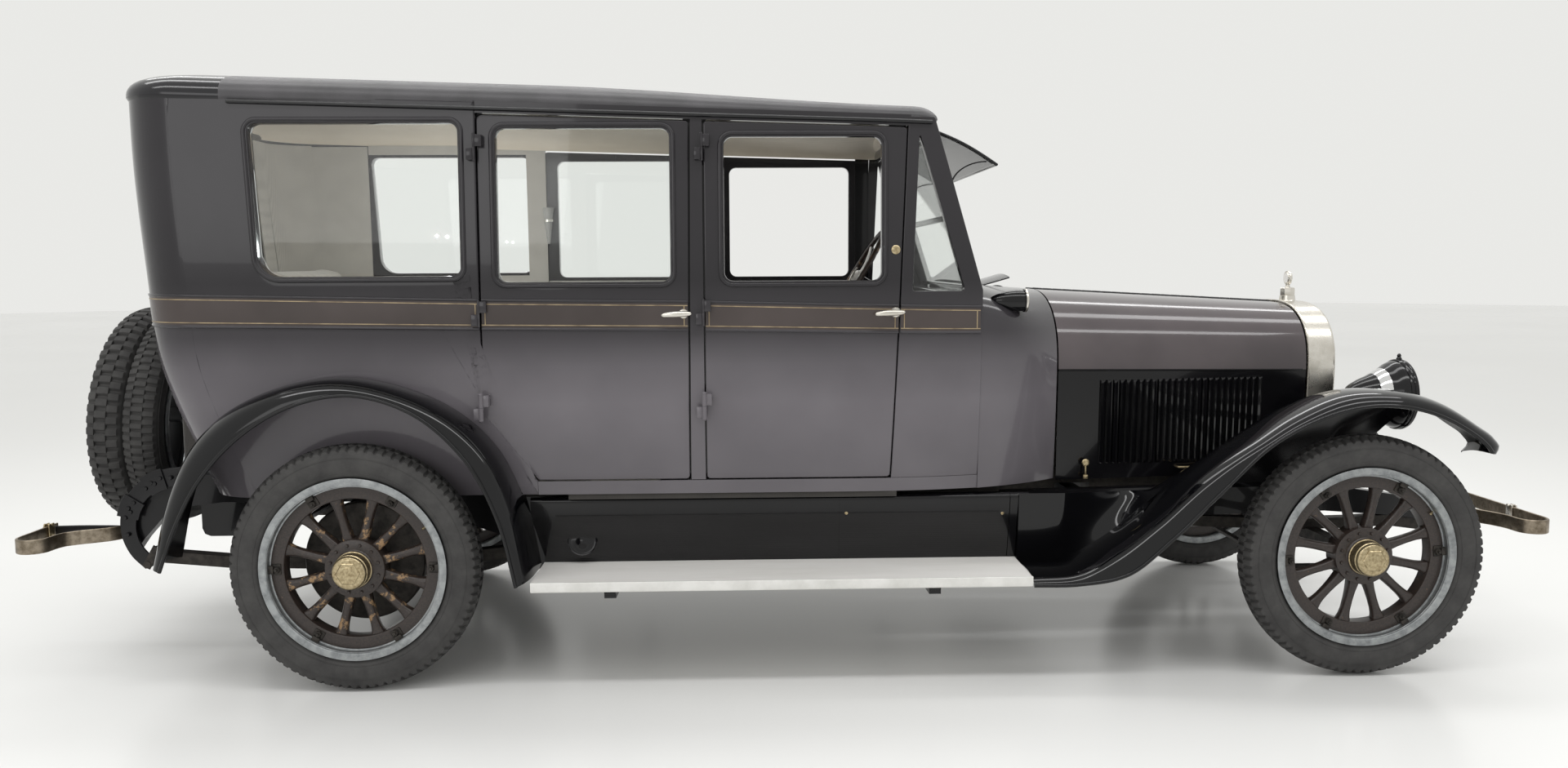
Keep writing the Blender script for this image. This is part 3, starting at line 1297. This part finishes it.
def make_engine(chassis):
    start, end = ENGINE_X
    seat = (rail_at(CROSS_MEMBERS[5], 2) + rail_at(CROSS_MEMBERS[5], 3)) / 2 + CROSS_DEPTH / 2 + SEAT
    engine = box((start, end), (-ENGINE_HALF, ENGINE_HALF), (seat + 0.02, ENGINE_TOP_Z))
    feet = box((start + 0.02, start + 0.06), (-0.10, 0.10), (seat, seat + 0.04))
    gearbox = box((GEARBOX_REAR, start + 0.02), (-0.120, 0.120), (seat + 0.005, 0.620))
    casing = box((GEARBOX_REAR, start - 0.01), (-0.110, 0.110), (0.420, seat + 0.02))
    sump = box((2.680, 3.120), (-0.140, 0.140), (0.420, seat + 0.05))
    place(join(engine, feet, gearbox, casing, sump), "engine", chassis, "iron")


def make_fuel_tank(chassis):
    top = member_z(CROSS_MEMBERS[1]) - CROSS_DEPTH / 2 - SEAT
    outline = rounded([(-0.680, 0.450), (-0.360, 0.450), (-0.360, top), (-0.680, top)], 0.030)
    tank = loft([[(x, y, z) for x, z in outline] for y in (-0.400, 0.400)])
    place(tank, "fuel_tank", chassis, "black_enamel")


def make_bodies():
    """The root and every moving body, as empties on their joints' axes."""
    chassis = body("chassis", (0, 0, 0))
    chassis.location = (REAR_AXLE_X, 0, TYRE_RADIUS - AXLE_Z)
    bodies = {}
    arm_z = YOKE[0] - YOKE_PLATE
    for side in (-1, 1):
        name = side_name(side)
        bodies[f"knuckle_{name}"] = body(f"body_knuckle_{name}", (WHEELBASE, side * KINGPIN_Y, AXLE_Z),
            chassis)
        for end, x, carrier in (("front", WHEELBASE, bodies[f"knuckle_{name}"]), ("rear", 0.0, chassis)):
            bodies[f"wheel_{end}_{name}"] = body(f"body_wheel_{end}_{name}", (x, side * WHEEL_PLANE,
                AXLE_Z), carrier)
        for which, (_, _, edge) in DOORS.items():
            bodies[f"{which}_door_{name}"] = body(f"body_{which}_door_{name}", (hinge_x(edge),
                side * HINGE_Y, HINGE_HEIGHTS[1]), chassis)
        top = body(f"body_hood_top_{name}", (HOOD_REAR_X, 0, HOOD_REAR[2]), chassis)
        bodies[f"hood_top_{name}"] = top
        seam = (HOOD_REAR_X, side * (HOOD_REAR[0] - HOOD_SHEET), HOOD_REAR[1])
        bodies[f"hood_side_{name}"] = body(f"body_hood_side_{name}", seam, top)
    bodies["tie_rod"] = body("body_tie_rod", (WHEELBASE - STEER_ARM, KINGPIN_Y, arm_z),
        bodies["knuckle_left"])
    bodies["steering_wheel"] = body("body_steering_wheel", (WHEEL_CENTRE[0], COLUMN_Y, WHEEL_CENTRE[1]),
        chassis)
    return chassis, bodies


def main():
    clear_scene()
    chassis, bodies = make_bodies()
    shell = body_shell()
    make_doors(shell, bodies)
    make_tub(shell, chassis)
    make_fixed_glass(chassis)
    make_roof(chassis)
    make_visor(chassis)
    make_cowl(chassis)
    make_hood(bodies)
    make_radiator(chassis)
    make_headlamps(chassis)
    make_fenders(chassis)
    make_running_boards(chassis)
    make_bumpers(chassis)
    make_frame(chassis)
    make_axles(chassis)
    make_knuckles(bodies)
    make_wheels(bodies)
    make_spares(chassis)
    make_steering(bodies, chassis)
    make_floor(chassis)
    make_seats(chassis)
    make_engine(chassis)
    make_fuel_tank(chassis)


main()
